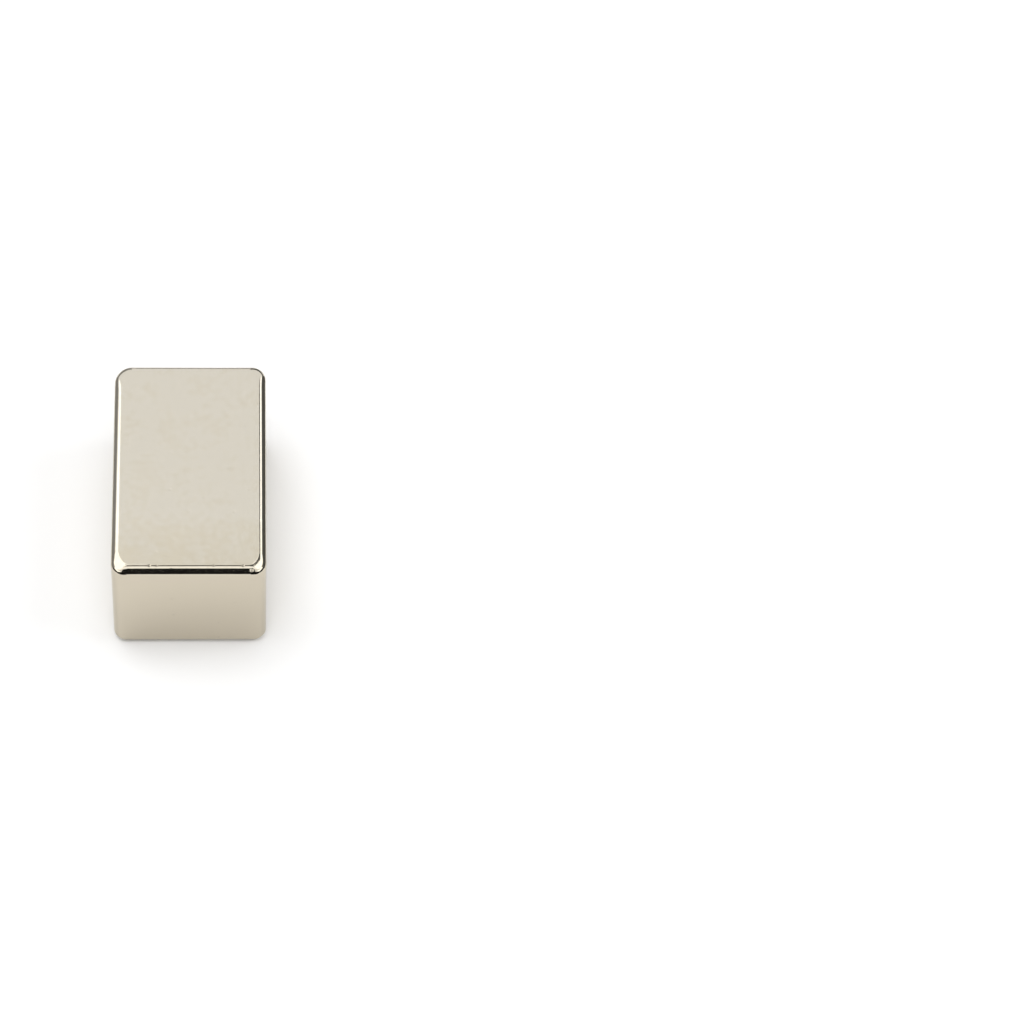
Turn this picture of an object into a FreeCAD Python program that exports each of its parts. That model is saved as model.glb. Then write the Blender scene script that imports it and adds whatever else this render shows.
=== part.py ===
import FreeCAD, Part
import os
import Sketcher

# Block magnet: one solid rectangular block with every edge rounded.
# The length runs along Y, the width along X and the height up Z.
# The origin is the middle of the underside.
# Lengths are in millimetres.

doc = FreeCAD.newDocument("BlockMagnet")

# Driving dimensions, one row each: alias, value, meaning
DIMENSIONS = [
    ("block_length", "10", "length, along Y"),
    ("block_width", "6", "width, along X"),
    ("block_height", "5", "height, along the magnetised axis Z"),
    ("corner_radius", "0.65", "radius of the four upright corners, seen from above"),
    ("edge_radius", "0.36", "radius of the rounding round the top and the underside"),
]

sheet = doc.addObject("Spreadsheet::Sheet", "Dimensions")
for row, (alias, value, meaning) in enumerate(DIMENSIONS, start=1):
    sheet.set(f"A{row}", meaning)
    sheet.set(f"B{row}", value)
    sheet.setAlias(f"B{row}", alias)
doc.recompute()


def size(alias):
    """Value of one driving dimension."""
    return float(sheet.get(alias))


def origin_plane(body, role):
    """One of the body's own origin planes."""
    return next(feature for feature in body.Origin.OriginFeatures if feature.Role == role)


def name_constraint(sketch, constraint, name, expression):
    """Add a sizing constraint to the sketch and bind it to the sheet."""
    index = sketch.addConstraint(constraint)
    sketch.renameConstraint(index, name)
    sketch.setExpression(f"Constraints.{name}", expression)


def block_outline(body):
    """Plan outline of the block: a rectangle about the origin with rounded corners."""
    outline = body.newObject("Sketcher::SketchObject", "BlockOutline")
    outline.AttachmentSupport = [(origin_plane(body, "XY_Plane"), "")]
    outline.MapMode = "FlatFace"

    half_width = size("block_width") / 2
    half_length = size("block_length") / 2
    corners = [
        FreeCAD.Vector(-half_width, -half_length, 0),
        FreeCAD.Vector(half_width, -half_length, 0),
        FreeCAD.Vector(half_width, half_length, 0),
        FreeCAD.Vector(-half_width, half_length, 0),
    ]
    for corner, after in zip(corners, corners[1:] + corners[:1]):
        outline.addGeometry(Part.LineSegment(corner, after))
    front, right, back, left = range(4)
    start, end = 1, 2
    for side in (front, right, back, left):
        outline.addConstraint(Sketcher.Constraint("Coincident", side, end, (side + 1) % 4, start))
    for side in (front, back):
        outline.addConstraint(Sketcher.Constraint("Horizontal", side))
    for side in (right, left):
        outline.addConstraint(Sketcher.Constraint("Vertical", side))
    outline.addConstraint(Sketcher.Constraint("Symmetric", front, start, back, start, -1, 1))
    name_constraint(
        outline,
        Sketcher.Constraint("DistanceX", front, start, front, end, size("block_width")),
        "block_width",
        "Dimensions.block_width",
    )
    name_constraint(
        outline,
        Sketcher.Constraint("DistanceY", right, start, right, end, size("block_length")),
        "block_length",
        "Dimensions.block_length",
    )
    return outline


def edges_where(shape, wanted):
    """Names of the shape's edges that pass a test."""
    return [f"Edge{number}" for number, edge in enumerate(shape.Edges, start=1) if wanted(edge)]


def is_upright(edge):
    """True for an edge that runs from the underside to the top."""
    return edge.BoundBox.ZLength > edge.BoundBox.XLength + edge.BoundBox.YLength


def is_rim(edge):
    """True for an edge round the top or the underside."""
    return not is_upright(edge)


def rounding(body, name, base, wanted, radius_alias):
    """Round the chosen edges of the feature before it."""
    fillet = body.newObject("PartDesign::Fillet", name)
    fillet.Base = (base, edges_where(base.Shape, wanted))
    fillet.Radius = size(radius_alias)
    fillet.setExpression("Radius", f"Dimensions.{radius_alias}")
    base.Visibility = False
    doc.recompute()
    return fillet


# The block: pressed to its outline, then rounded first at the corners and then round both rims
magnet = doc.addObject("PartDesign::Body", "BlockMagnet")
magnet.Label = "block_magnet"
magnet.Placement = FreeCAD.Placement(FreeCAD.Vector(0, 0, 0), FreeCAD.Rotation())

block = magnet.newObject("PartDesign::Pad", "Block")
block.Profile = block_outline(magnet)
block.Length = size("block_height")
block.setExpression("Length", "Dimensions.block_height")
doc.recompute()

corners = rounding(magnet, "RoundedCorners", block, is_upright, "corner_radius")
rims = rounding(magnet, "RoundedRims", corners, is_rim, "edge_radius")
magnet.Tip = rims
doc.recompute()

# Checks before anything is written
for feature in doc.Objects:
    for fault in ("Invalid", "Error"):
        if fault in feature.State:
            raise RuntimeError(f"{feature.Label} failed to build: {feature.State}")

pieces = [magnet]
for piece in pieces:
    if piece.Shape.isNull() or not piece.Shape.isValid():
        raise RuntimeError(f"{piece.Label} has no valid shape")
    if len(piece.Shape.Solids) != 1:
        raise RuntimeError(f"{piece.Label} is not one solid")

os.makedirs("parts", exist_ok=True)
for piece in pieces:
    piece.Shape.exportStep(f"parts/{piece.Label}.step")
    box = piece.Shape.optimalBoundingBox(False, False)
    extents = f"{box.XLength:.2f} x {box.YLength:.2f} x {box.ZLength:.2f} mm"
    print(f"{piece.Label}: {extents}, volume {piece.Shape.Volume:.2f} cubic mm")
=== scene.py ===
import math

import bmesh
import bpy
from mathutils import Matrix, Vector, noise


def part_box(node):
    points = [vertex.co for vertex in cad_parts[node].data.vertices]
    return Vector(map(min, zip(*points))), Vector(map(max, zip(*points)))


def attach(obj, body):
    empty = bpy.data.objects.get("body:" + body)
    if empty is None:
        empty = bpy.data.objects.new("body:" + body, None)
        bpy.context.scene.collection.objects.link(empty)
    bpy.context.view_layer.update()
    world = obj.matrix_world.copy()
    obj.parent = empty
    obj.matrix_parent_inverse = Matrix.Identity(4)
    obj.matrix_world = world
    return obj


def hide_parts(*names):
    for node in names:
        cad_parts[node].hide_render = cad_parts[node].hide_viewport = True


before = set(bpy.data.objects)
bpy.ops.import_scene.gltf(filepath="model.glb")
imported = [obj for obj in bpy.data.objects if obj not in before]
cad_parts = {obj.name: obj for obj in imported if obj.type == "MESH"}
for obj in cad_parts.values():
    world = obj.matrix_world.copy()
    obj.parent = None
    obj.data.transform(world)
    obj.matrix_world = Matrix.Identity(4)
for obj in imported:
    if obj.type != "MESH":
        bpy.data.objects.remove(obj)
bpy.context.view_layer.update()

# Block magnet: a sintered block, tumbled until its edges are round, then plated with bright nickel.
# It stands on a white table in soft studio light.
# Lengths are in metres and angles in degrees, unless a name or a comment says otherwise.

MM = 0.001
NODE = "block_magnet"
BLOCK_LOW, BLOCK_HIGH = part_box(NODE)
BLOCK_SIZE = BLOCK_HIGH - BLOCK_LOW
BLOCK_MIDDLE = (BLOCK_LOW + BLOCK_HIGH) / 2

# Rounding of the rims: how far it runs in from the sides and from the ends, and how far it drops at the ends
ROUNDING = Vector((0.30, 0.36, 0.33)) * MM
SIDE_DROP = 0.25 * MM
RIM_STEPS = 24

# Corners go by their side and their end, as seen from above: -1 is left or front, and 1 is right or back.
# How far each upright edge's rounding runs in from the sides, in millimetres
UPRIGHT_RUNS = {(-1, -1): 0.47, (1, -1): 0.47, (-1, 1): 0.69, (1, 1): 0.54}
UPRIGHT_STEPS = 28

# The corners of the top and the underside are worn further than the edges between them.
# Each of the four has its own size, slope where the wear begins, and bend further out.
WORN_CORNERS = {
    (-1, -1): (0.70, 0.19, 0.9),
    (1, -1): (0.62, 0.19, 0.8),
    (-1, 1): (1.15, 0.10, 3.2),
    (1, 1): (1.00, 0.08, 0.9),
}
# How far a worn field of size 1 runs in from the rounding, and over what lengths its slope starts and bends
WORN_RUN = Vector((0.64, 1.00)) * MM
WORN_START = 0.03 * MM
WORN_BEND = 0.66 * MM
# Width of the change from the wear to the rounding, and a depth too small to count
WORN_BLEND = 0.06 * MM
NO_DEPTH = 1e-9
# The wear fades out towards the edges beside a corner, and is deeper on the underside
WORN_FADE = 0.5
UNDERSIDE_WEAR = 1.7

# Border round each flat, cells that carry the relief, and points so close together that they are one
HOLDING_BORDER = 0.012 * MM
FACE_CELL = 0.14 * MM
CORNER_CELL = 0.04 * MM
SAME_PLACE = 0.00002 * MM

# How far a normal leans off its axis where the plating is fully burnished, as 1 less its largest part
FULL_TILT = 0.004

# Dents on the front rim, in millimetres: place across the block, degrees round from the top, radius, depth
FRONT_RIM_DENTS = [
    (-1.48, 7, 0.075, 0.006),
    (-1.24, 9, 0.055, 0.004),
    (1.02, 8, 0.060, 0.005),
    (2.05, 9, 0.075, 0.007),
    (2.44, 36, 0.090, 0.018),
]
# The mesh is cut finer round a dent, out to this many of its radii and with this many cells to a radius
DENT_REACH = 1.3
DENT_CELLS = 4
# A face may touch that reach when its middle lies within this share of a cell past it
CELL_SHARE = 0.6
# Upward part of a face's normal from which it counts as level
LEVEL = 0.9999

# Swells of the pressed and tumbled surface: width and height in millimetres
SLOW_SWELL = (1.6, 0.0030)
QUICK_SWELL = (0.55, 0.0008)
QUICK_SWELL_SHIFT = Vector((7, 3, 5))

# Tints of the nickel, some of them carrying painted shade
CLEAN_TINT = (0.676, 0.633, 0.546, 1.0)
# Painted shade and random tarnish: this tint darkens the front of the top, and also the clouds and blotches
TARNISH_AND_SHADE_TINT = (0.634, 0.580, 0.472, 1.0)
# Painted shade: the upright faces are darker and warmer than the top, and darker still low down
UPRIGHT_SHADE_TINT = (0.594, 0.538, 0.436, 1.0)
LOW_UPRIGHT_SHADE_TINT = (0.561, 0.508, 0.412, 1.0)
PORE_TINT = (0.36, 0.32, 0.26, 1.0)
GRAZING_TINT = (0.88, 0.87, 0.84, 1.0)

# Camera, fitted to the outline of the magnet in the photograph
CAMERA_DISTANCE = 160 * MM
CAMERA_ELEVATION = 55.19
CAMERA_AZIMUTH = -6.53
CAMERA_ROLL = -5.33
PICTURE_WIDTH = 40.53 * MM
MAGNET_LEFT_OF_MIDDLE = 12.705 * MM
MAGNET_ABOVE_MIDDLE = 0.29 * MM

# Light levels, where 1 is white
SEEN_WHITE = 1.0
WORLD_LIGHT = 0.33
TABLE_GLOW = 0.03

# The table lies just under the swells of the underside. The softboxes and lamps stand well away.
TABLE_WIDTH = 1.4
TABLE_DROP = 0.01 * MM
STUDIO_DISTANCE = 0.5


# The block

def new_object(name, mesh):
    """Put a finished bmesh into the scene as an object."""
    data = bpy.data.meshes.new(name)
    mesh.to_mesh(data)
    mesh.free()
    made = bpy.data.objects.new(name, data)
    bpy.context.scene.collection.objects.link(made)
    return made


def round_edges(mesh, edges, radius, steps):
    bmesh.ops.bevel(
        mesh, geom=edges, offset=radius, offset_type="OFFSET", affect="EDGES",
        segments=steps, profile=0.5, material=-1, clamp_overlap=False,
    )


def corner_of(place):
    """Which of the four corners is nearest, by its side and its end."""
    return (-1 if place.x < 0 else 1, -1 if place.y < 0 else 1)


def is_upright(edge):
    """True for an edge that goes up by more than one rounding."""
    low, high = edge.verts
    return abs(low.co.z - high.co.z) > 1.0


def rounded_block():
    """The plain block, made in units of its rounding, so that this can differ along each axis."""
    mesh = bmesh.new()
    bmesh.ops.create_cube(mesh, size=1.0)
    in_roundings = Vector(size / run for size, run in zip(BLOCK_SIZE, ROUNDING))
    bmesh.ops.scale(mesh, vec=in_roundings, verts=mesh.verts)
    for corner, run in UPRIGHT_RUNS.items():
        upright = [
            edge for edge in mesh.edges
            if is_upright(edge) and corner_of(edge.verts[0].co) == corner
        ]
        round_edges(mesh, upright, run * MM / ROUNDING.x, UPRIGHT_STEPS)
    rims = [edge for edge in mesh.edges if not is_upright(edge)]
    round_edges(mesh, rims, 1.0, RIM_STEPS)
    bmesh.ops.scale(mesh, vec=ROUNDING, verts=mesh.verts)
    bmesh.ops.translate(mesh, vec=BLOCK_MIDDLE, verts=mesh.verts)
    return mesh


def cut_across(mesh, axis, places, faces=None):
    """Cut the mesh, or the faces that a function finds in it, by planes square to one axis."""
    normal = Vector((0, 0, 0))
    normal[axis] = 1.0
    for place in places:
        cut = faces() if faces else mesh.faces[:]
        edges = dict.fromkeys(edge for face in cut for edge in face.edges)
        verts = dict.fromkeys(vert for face in cut for vert in face.verts)
        point = Vector((0, 0, 0))
        point[axis] = place
        bmesh.ops.bisect_plane(
            mesh, geom=list(verts) + list(edges) + cut, plane_co=point, plane_no=normal, dist=0.0,
        )


def evenly(low, high, step):
    """Places between two ends, at most a step apart, without the ends themselves."""
    count = max(1, math.ceil((high - low) / step))
    return [low + (high - low) * i / count for i in range(1, count)]


def divide_faces(mesh):
    """Give the flats a narrow border, where the shading of the rounding stops, and cells for the relief."""
    flats = sorted(mesh.faces, key=lambda face: face.calc_area())[-6:]
    bmesh.ops.inset_individual(mesh, faces=flats, thickness=HOLDING_BORDER, use_even_offset=True)
    half = BLOCK_SIZE / 2
    for axis in (0, 1):
        outer = half[axis] - ROUNDING[axis]
        inner = outer - WORN_RUN[axis]
        corner = evenly(inner, outer, CORNER_CELL)
        cut_across(mesh, axis, evenly(-inner, inner, FACE_CELL) + corner + [-place for place in corner])
    low = BLOCK_LOW.z + ROUNDING.z + HOLDING_BORDER
    high = BLOCK_HIGH.z - ROUNDING.z - HOLDING_BORDER
    cut_across(mesh, 2, [low, high] + evenly(low, high, FACE_CELL))


def set_depth(vert, below):
    """Move a point straight up or down, to that depth from the nearer of the top and the underside."""
    height = vert.co.z - BLOCK_MIDDLE.z
    vert.co.z = BLOCK_MIDDLE.z + math.copysign(BLOCK_SIZE.z / 2 - below, height)


def flatten_sides(mesh):
    """Let the rounding drop less at the sides than at the ends, changing smoothly round the upright edges."""
    half = BLOCK_SIZE / 2
    for vert in mesh.verts:
        run_x = UPRIGHT_RUNS[corner_of(vert.co)] * MM
        run_y = run_x * ROUNDING.y / ROUNDING.x
        out_x = max(0.0, abs(vert.co.x) - (half.x - run_x)) / run_x
        out_y = max(0.0, abs(vert.co.y) - (half.y - run_y)) / run_y
        if out_x + out_y == 0:
            continue
        side = out_x ** 2 / (out_x ** 2 + out_y ** 2)
        drop = ROUNDING.z + (SIDE_DROP - ROUNDING.z) * side
        below = half.z - abs(vert.co.z - BLOCK_MIDDLE.z)
        if below < ROUNDING.z:
            below *= drop / ROUNDING.z
        else:
            below = drop + (below - ROUNDING.z) * (half.z - drop) / (half.z - ROUNDING.z)
        set_depth(vert, below)


def worn_depth(past, size, slope, bend):
    """How deep a corner is worn, at a length past the border of its worn field."""
    begun = past - WORN_START * math.log(1 + past / WORN_START)
    return slope * begun + bend * past ** 4 / (4 * (WORN_BEND * size) ** 3)


def deeper(rounded, worn):
    """The deeper of the rounding and the wear, changing smoothly from one to the other."""
    both = rounded + worn
    if both < NO_DEPTH:
        return rounded
    blend = WORN_BLEND * both / (both + WORN_BLEND)
    mix = min(1.0, max(0.0, 0.5 + 0.5 * (worn - rounded) / blend))
    return rounded + (worn - rounded) * mix + blend * mix * (1 - mix) / 2


def wear_corners(mesh):
    """Wear down the corners of the top and the underside into small sloping fields with a round border."""
    half = BLOCK_SIZE / 2
    for vert in mesh.verts:
        size, slope, bend = WORN_CORNERS[corner_of(vert.co)]
        run = WORN_RUN * size
        out_x = max(0.0, abs(vert.co.x) - (half.x - ROUNDING.x - run.x)) / run.x
        out_y = max(0.0, abs(vert.co.y) - (half.y - ROUNDING.y - run.y)) / run.y
        out = math.hypot(out_x, out_y)
        if out <= 1:
            continue
        steepness = math.hypot(out_x / run.x, out_y / run.y) / out
        share = min(1.0, 2 * out_x * out_y / out ** 2 / WORN_FADE)
        share = share ** 2 * (3 - 2 * share)
        height = vert.co.z - BLOCK_MIDDLE.z
        if height <= 0:
            share *= UNDERSIDE_WEAR
        worn = worn_depth((out - 1) / steepness, size, slope, bend) * share
        set_depth(vert, deeper(half.z - abs(height), worn))


def mark_burnished(mesh):
    """Store where tumbling has burnished the plating: 0 on the flats, 1 on the roundings."""
    layer = mesh.verts.layers.float.new("burnished")
    mesh.normal_update()
    for vert in mesh.verts:
        tilt = 1 - max(abs(part) for part in vert.normal)
        vert[layer] = min(1.0, tilt / FULL_TILT)


def on_front_rim(x, round_from_top):
    """A point on the rounding between the top and the front face."""
    angle = math.radians(round_from_top)
    return Vector((
        x,
        BLOCK_LOW.y + ROUNDING.y * (1 - math.sin(angle)),
        BLOCK_HIGH.z - ROUNDING.z * (1 - math.cos(angle)),
    ))


def press_dent(mesh, centre, radius, depth):
    """Cut the mesh finer round one place on its surface and press a small smooth dent into it."""
    centre = min((vert.co for vert in mesh.verts), key=lambda place: (place - centre).length).copy()
    reach = radius * DENT_REACH

    def near():
        span = reach + FACE_CELL * CELL_SHARE
        return [face for face in mesh.faces if (face.calc_center_median() - centre).length < span]

    def near_and_level():
        return [face for face in near() if abs(face.normal.z) > LEVEL]

    mesh.normal_update()
    for axis, faces in ((0, near), (1, near_and_level)):
        places = evenly(centre[axis] - reach, centre[axis] + reach, radius / DENT_CELLS)
        cut_across(mesh, axis, places, faces)
    mesh.normal_update()
    for vert in mesh.verts:
        share = 1 - ((vert.co - centre).length / radius) ** 2
        if share > 0:
            vert.co -= vert.normal * depth * share ** 2


def dent_front_rim(mesh):
    for x, round_from_top, radius, depth in FRONT_RIM_DENTS:
        press_dent(mesh, on_front_rim(x * MM, round_from_top), radius * MM, depth * MM)


def swell(mesh):
    """Slight unevenness of the pressed and tumbled surface."""
    slow_width, slow_height = SLOW_SWELL
    quick_width, quick_height = QUICK_SWELL
    mesh.normal_update()
    for vert in mesh.verts:
        slow = noise.noise(vert.co / (slow_width * MM))
        quick = noise.noise(vert.co / (quick_width * MM) + QUICK_SWELL_SHIFT)
        vert.co += vert.normal * (slow * slow_height + quick * quick_height) * MM


def tumbled_block(name):
    mesh = rounded_block()
    divide_faces(mesh)
    flatten_sides(mesh)
    wear_corners(mesh)
    mark_burnished(mesh)
    dent_front_rim(mesh)
    swell(mesh)
    bmesh.ops.remove_doubles(mesh, verts=mesh.verts, dist=SAME_PLACE)
    for face in mesh.faces:
        face.smooth = True
    return new_object(name, mesh)


# Materials

def new_tree(name):
    made = bpy.data.materials.new(name)
    made.use_nodes = True
    made.node_tree.nodes.clear()
    return made, made.node_tree


def add(tree, kind, inputs=None, **settings):
    """Add a shader node with its settings, and set or link its inputs."""
    made = tree.nodes.new(kind)
    for name, value in settings.items():
        setattr(made, name, value)
    for name, value in (inputs or {}).items():
        if isinstance(value, bpy.types.NodeSocket):
            tree.links.new(value, made.inputs[name])
        else:
            made.inputs[name].default_value = value
    return made


def arithmetic(tree, operation, first, second):
    made = add(tree, "ShaderNodeMath", {0: first, 1: second}, operation=operation)
    return made.outputs["Value"]


def weighed_sum(tree, parts):
    """Add up values, each times its weight."""
    total = 0.0
    for value, weight in parts:
        total = arithmetic(tree, "ADD", total, arithmetic(tree, "MULTIPLY", value, weight))
    return total


def mixed_colour(tree, share, first, second):
    made = add(tree, "ShaderNodeMix", {"Factor": share, "A": first, "B": second}, data_type="RGBA")
    return made.outputs["Result"]


def pattern(tree, place, scale, detail=2.0):
    made = add(tree, "ShaderNodeTexNoise", {"Vector": place, "Scale": scale, "Detail": detail})
    return made.outputs["Fac"]


def between(tree, value, low, high, at_low, at_high):
    """Turn one range of a value into another, and stop at its ends."""
    made = add(tree, "ShaderNodeMapRange", {
        "Value": value, "From Min": low, "From Max": high, "To Min": at_low, "To Max": at_high,
    })
    return made.outputs["Result"]


def pores_in_plating(tree, in_mm):
    """1 in the middle of a deep pore, less in a shallow one, and 0 between pores."""
    cells = add(tree, "ShaderNodeTexVoronoi", {"Vector": in_mm, "Scale": 1.7}).outputs
    spots = between(tree, cells["Distance"], 0.04, 0.12, 1.0, 0.0)
    chance = add(tree, "ShaderNodeSeparateColor", {"Color": cells["Color"]}).outputs["Red"]
    return arithmetic(tree, "MULTIPLY", spots, between(tree, chance, 0.30, 0.95, 0.0, 1.0))


def hairlines_in_plating(tree, in_mm):
    """1 on fine scratches that run nearly along the block, and 0 between them."""
    along = add(tree, "ShaderNodeMapping", {
        "Vector": in_mm, "Rotation": (0.0, 0.0, math.radians(14)), "Scale": (34.0, 0.5, 34.0),
    }).outputs["Vector"]
    return between(tree, pattern(tree, along, 1.0, 1.0), 0.72, 0.78, 0.0, 1.0)


def nickel_tint(tree, in_mm, facing, clouds, pores):
    """Colour of the plating: random tarnish in clouds and blotches, painted shade towards the front of the
    top and on the upright faces, most of all low on them, and darker in pores.
    """
    place = add(tree, "ShaderNodeSeparateXYZ", {"Vector": in_mm}).outputs
    blotches = pattern(tree, in_mm, 3.2, 3.0)
    # Painted shade: the top is made darker towards its front, standing in for a dimmer reflection there;
    # clouds and blotches then add random tarnish
    tarnish_and_shade = between(tree, place["Y"], -4.7, -2.2, 1.0, 0.0)
    tarnish_and_shade = arithmetic(tree, "ADD", tarnish_and_shade, between(tree, clouds, 0.38, 0.62, -0.15, 0.30))
    tarnish_and_shade = arithmetic(tree, "ADD", tarnish_and_shade, between(tree, blotches, 0.35, 0.65, -0.15, 0.15))
    level_tint = mixed_colour(tree, tarnish_and_shade, CLEAN_TINT, TARNISH_AND_SHADE_TINT)
    # Painted shade: the upright faces darken towards the bottom, standing in for the table's shadow that they
    # reflect near the block
    low_shade = between(tree, place["Z"], 2.0, 4.2, 1.0, 0.0)
    upright_shade_tint = mixed_colour(tree, low_shade, UPRIGHT_SHADE_TINT, LOW_UPRIGHT_SHADE_TINT)
    # Painted shade: the upright faces get a darker, warmer tint than the level ones
    facing_up = add(tree, "ShaderNodeSeparateXYZ", {"Vector": facing}).outputs["Z"]
    upright = between(tree, arithmetic(tree, "ABSOLUTE", facing_up, 0.0), 0.1, 0.8, 1.0, 0.0)
    tint = mixed_colour(tree, upright, level_tint, upright_shade_tint)
    return mixed_colour(tree, arithmetic(tree, "MULTIPLY", pores, 0.30), tint, PORE_TINT)


def nickel_roughness(tree, clouds, hairlines, peel):
    """Roughness of the plating: satin on flats, rougher in hairlines, smoothest where it is burnished."""
    burnished = add(tree, "ShaderNodeAttribute", attribute_name="burnished").outputs["Fac"]
    on_flats = between(tree, clouds, 0.3, 0.7, 0.11, 0.15)
    on_flats = arithmetic(tree, "ADD", on_flats, arithmetic(tree, "MULTIPLY", hairlines, 0.06))
    on_roundings = between(tree, peel, 0.3, 0.7, 0.08, 0.11)
    made = add(tree, "ShaderNodeMix", {"Factor": burnished, "A": on_flats, "B": on_roundings})
    return made.outputs["Result"]


def bright_nickel():
    """Nickel plating with a soft sheen, faint clouds, pores and hairlines, and painted shade on the upright
    faces and towards the front of the top.
    """
    made, tree = new_tree("bright_nickel")
    coordinates = add(tree, "ShaderNodeTexCoord").outputs
    in_mm = add(tree, "ShaderNodeMapping", {
        "Vector": coordinates["Object"], "Scale": (1 / MM, 1 / MM, 1 / MM),
    }).outputs["Vector"]
    clouds = pattern(tree, in_mm, 0.8, 3.0)
    peel = pattern(tree, in_mm, 3.5)
    grain = pattern(tree, in_mm, 26.0)
    pores = pores_in_plating(tree, in_mm)
    hairlines = hairlines_in_plating(tree, in_mm)
    height_in_mm = weighed_sum(tree, [
        (peel, 0.0016), (grain, 0.00022), (pores, -0.0035), (hairlines, -0.0005),
    ])
    relief = add(tree, "ShaderNodeBump", {"Strength": 1.0, "Distance": MM, "Height": height_in_mm})
    surface = add(tree, "ShaderNodeBsdfPrincipled", {
        "Metallic": 1.0,
        "Base Color": nickel_tint(tree, in_mm, coordinates["Normal"], clouds, pores),
        "Roughness": nickel_roughness(tree, clouds, hairlines, peel),
        "Specular Tint": GRAZING_TINT,
        "Normal": relief.outputs["Normal"],
    })
    add(tree, "ShaderNodeOutputMaterial", {"Surface": surface.outputs["BSDF"]})
    return made


def glowing(name, strength):
    made, tree = new_tree(name)
    glow = add(tree, "ShaderNodeEmission", {"Strength": strength})
    add(tree, "ShaderNodeOutputMaterial", {"Surface": glow.outputs["Emission"]})
    return made


def seen_or_reflected(tree):
    """1 for what the camera sees, also in metal or through glass, and 0 for what lights something matt."""
    path = add(tree, "ShaderNodeLightPath").outputs
    seen = arithmetic(tree, "MAXIMUM", path["Is Camera Ray"], path["Is Glossy Ray"])
    seen = arithmetic(tree, "MAXIMUM", seen, path["Is Transmission Ray"])
    no_matt_yet = arithmetic(tree, "LESS_THAN", path["Diffuse Depth"], 0.5)
    return arithmetic(tree, "MULTIPLY", seen, no_matt_yet)


def table_white():
    """Matt white, with a little brightness of its own where the camera or the metal sees it."""
    made, tree = new_tree("table_white")
    matt = add(tree, "ShaderNodeBsdfDiffuse", {"Color": (0.93, 0.93, 0.93, 1.0)})
    own = add(tree, "ShaderNodeEmission", {
        "Strength": arithmetic(tree, "MULTIPLY", seen_or_reflected(tree), TABLE_GLOW),
    })
    both = add(tree, "ShaderNodeAddShader", {0: matt.outputs["BSDF"], 1: own.outputs["Emission"]})
    add(tree, "ShaderNodeOutputMaterial", {"Surface": both.outputs["Shader"]})
    return made


# Studio

def flat_card(name, width, height):
    mesh = bmesh.new()
    bmesh.ops.create_grid(mesh, x_segments=1, y_segments=1, size=0.5)
    bmesh.ops.scale(mesh, vec=(width, height, 1.0), verts=mesh.verts)
    made = new_object(name, mesh)
    return made


def unit_towards(heading, elevation):
    """Unit vector from the magnet: heading 0 is straight back and 90 is to the right."""
    heading, elevation = math.radians(heading), math.radians(elevation)
    across, back = math.sin(heading), math.cos(heading)
    return Vector((across * math.cos(elevation), back * math.cos(elevation), math.sin(elevation)))


def facing_magnet(thing, heading, elevation, distance):
    """Put a card or a lamp that far from the magnet in the given direction, turned to face it."""
    towards = unit_towards(heading, elevation)
    turn = (-towards).to_track_quat("Z" if thing.type == "MESH" else "-Z", "Y")
    thing.matrix_world = Matrix.Translation(towards * distance) @ turn.to_matrix().to_4x4()


def only_reflected(card, look):
    card.data.materials.append(look)
    card.visible_camera = False
    card.visible_diffuse = False
    card.visible_shadow = False


def reflected_card(name, heading, elevation, across, upward, look, distance=STUDIO_DISTANCE):
    """A card seen only as a reflection, which covers the given angles as the magnet sees it."""
    width = 2 * distance * math.tan(math.radians(across / 2))
    height = 2 * distance * math.tan(math.radians(upward / 2))
    made = flat_card(name, width, height)
    facing_magnet(made, heading, elevation, distance)
    only_reflected(made, look)


def near_strip(name, start, end, low, high, look):
    """An upright strip beside the magnet, so low that only the rims reflect it. In millimetres."""
    start, end = Vector(start) * MM, Vector(end) * MM
    along = end - start
    made = flat_card(name, along.length, (high - low) * MM)
    across = along.normalized().to_3d()
    up = Vector((0, 0, 1))
    axes = Matrix((across, up, across.cross(up))).transposed().to_4x4()
    middle = ((start + end) / 2).to_3d() + up * (low + high) / 2 * MM
    made.matrix_world = Matrix.Translation(middle) @ axes
    only_reflected(made, look)


def soft_lamp(name, heading, elevation, size, power):
    """A square soft lamp that lights the table. The cards stand in for it in reflections."""
    data = bpy.data.lights.new(name, "AREA")
    data.shape = "SQUARE"
    data.size = size
    data.energy = power
    made = bpy.data.objects.new(name, data)
    bpy.context.scene.collection.objects.link(made)
    facing_magnet(made, heading, elevation, STUDIO_DISTANCE)
    made.visible_camera = False
    made.visible_glossy = False


def white_surroundings():
    """A white world, dimmer as a light than it looks, so that the lamps can cast a shadow."""
    world = bpy.data.worlds.new("studio")
    bpy.context.scene.world = world
    world.use_nodes = True
    tree = world.node_tree
    tree.nodes.clear()
    level = between(tree, seen_or_reflected(tree), 0.0, 1.0, WORLD_LIGHT, SEEN_WHITE)
    background = add(tree, "ShaderNodeBackground", {"Color": (1, 1, 1, 1), "Strength": level})
    add(tree, "ShaderNodeOutputWorld", {"Surface": background.outputs["Background"]})


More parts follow.
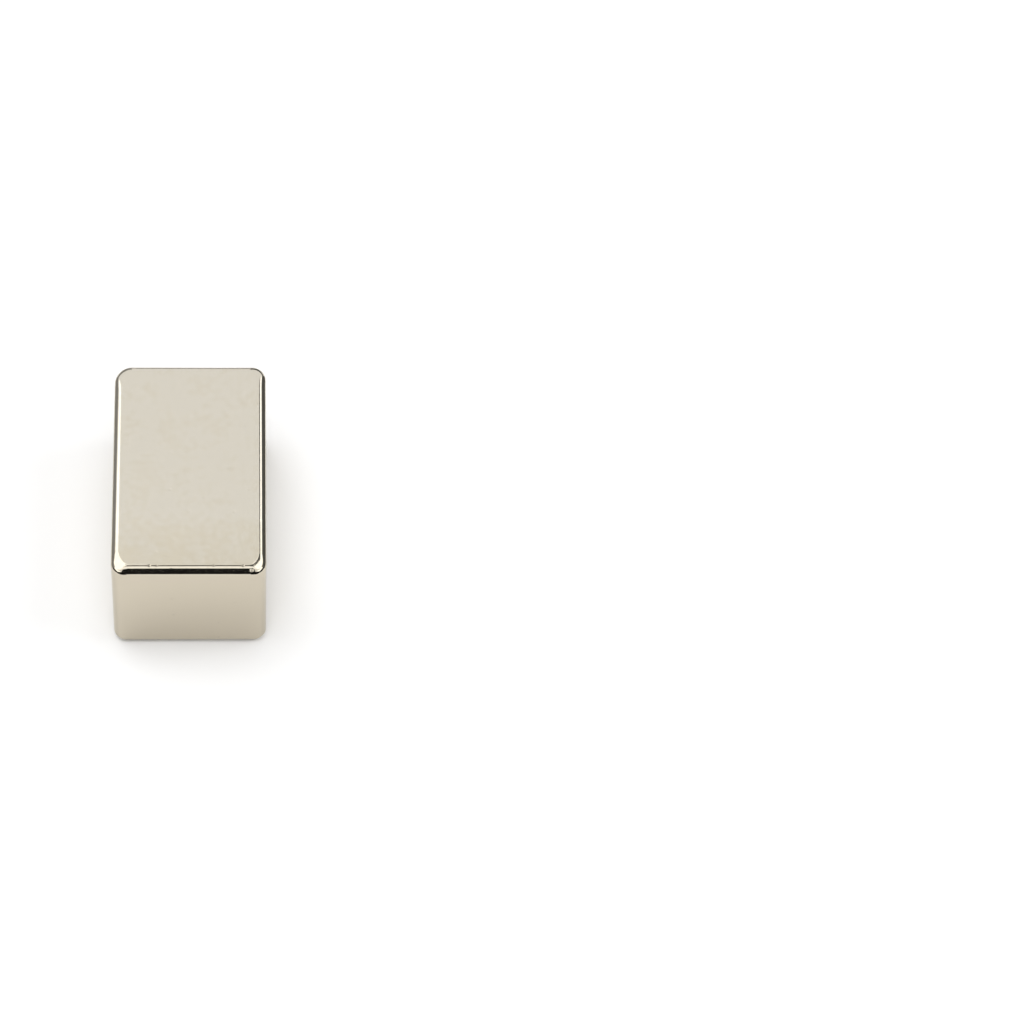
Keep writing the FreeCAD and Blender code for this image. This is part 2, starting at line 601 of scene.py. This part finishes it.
def studio():
    table = flat_card("table", TABLE_WIDTH, TABLE_WIDTH)
    table.location.z = -TABLE_DROP
    table.data.materials.append(table_white())
    white_surroundings()

    softbox = glowing("softbox_white", 1.45)
    side_softbox = glowing("side_softbox_white", 1.9)
    rim = glowing("softbox_rim", 0.10)
    black = glowing("black_flag", 0.012)
    grey_left = glowing("grey_flag_left", 0.30)
    grey_right = glowing("grey_flag_right", 0.11)

    # The rims and the flag hang a little nearer than the softboxes that they darken
    reflected_card("overhead_softbox", 0, 91.5, 50, 25, softbox)
    reflected_card("overhead_rim", 2, 71.5, 15, 13, rim, distance=0.49)
    reflected_card("right_rim", 23, 58, 8.7, 20, rim, distance=0.49)
    reflected_card("front_flag", 181.5, 46, 17, 60, black, distance=0.48)
    reflected_card("left_softbox", -61.5, 57, 51, 34, side_softbox)
    reflected_card("left_front_softbox", -112, 30, 70, 32, side_softbox)
    reflected_card("right_softbox", 62, 57, 50, 34, side_softbox)
    reflected_card("right_front_softbox", 112, 30, 70, 32, side_softbox)

    near_strip("left_strip", (-3.1, -4.7), (-3.1, 4.7), 4.79, 5.165, grey_left)
    near_strip("right_strip", (3.1, -4.7), (3.1, 4.7), 4.78, 5.22, grey_right)
    near_strip("front_strip", (-2.4, -5.6), (2.4, -5.6), 4.83, 5.30, black)
    near_strip("front_left_strip", (-3.6, -5.6), (-2.4, -5.6), 4.72, 5.34, black)
    near_strip("front_right_strip", (2.4, -5.6), (3.6, -5.6), 4.72, 5.34, black)
    near_strip("left_front_strip", (-3.6, -5.6), (-3.6, -4.0), 4.70, 5.30, black)
    near_strip("right_front_strip", (3.6, -5.6), (3.6, -4.0), 4.70, 5.30, black)
    near_strip("back_strip", (-2.4, 5.6), (2.4, 5.6), 4.86, 5.06, grey_right)
    near_strip("back_left_strip", (-3.6, 5.6), (-2.4, 5.6), 4.80, 5.50, grey_left)
    near_strip("back_right_strip", (2.4, 5.6), (3.6, 5.6), 4.80, 5.50, grey_right)
    near_strip("left_back_strip", (-3.6, 4.4), (-3.6, 5.6), 4.80, 5.50, grey_left)
    near_strip("right_back_strip", (3.6, 4.4), (3.6, 5.6), 4.80, 5.50, grey_right)

    soft_lamp("key_lamp", -60, 75, 0.5, 1.75)
    soft_lamp("front_lamp", 180, 58, 0.35, 0.54)
    soft_lamp("right_lamp", 90, 45, 0.25, 0.55)


def camera():
    azimuth, elevation, roll = (
        math.radians(angle) for angle in (CAMERA_AZIMUTH, CAMERA_ELEVATION, CAMERA_ROLL)
    )
    back = Vector((
        math.sin(azimuth) * math.cos(elevation),
        -math.cos(azimuth) * math.cos(elevation),
        math.sin(elevation),
    ))
    level = Vector((math.cos(azimuth), math.sin(azimuth), 0))
    steep = back.cross(level)
    right = math.cos(roll) * level - math.sin(roll) * steep
    up = math.sin(roll) * level + math.cos(roll) * steep
    aim = BLOCK_MIDDLE + MAGNET_LEFT_OF_MIDDLE * right - MAGNET_ABOVE_MIDDLE * up
    data = bpy.data.cameras.new("camera")
    data.lens = data.sensor_width * CAMERA_DISTANCE / PICTURE_WIDTH
    data.clip_start = 0.01
    data.clip_end = 5.0
    made = bpy.data.objects.new("camera", data)
    bpy.context.scene.collection.objects.link(made)
    axes = Matrix((right, up, back)).transposed()
    made.matrix_world = Matrix.Translation(aim + back * CAMERA_DISTANCE) @ axes.to_4x4()
    bpy.context.scene.camera = made


block = tumbled_block("nickel_block")
block.data.materials.append(bright_nickel())
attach(block, "root")
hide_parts(NODE)
studio()
camera()
bpy.context.scene.view_settings.view_transform = "Standard"
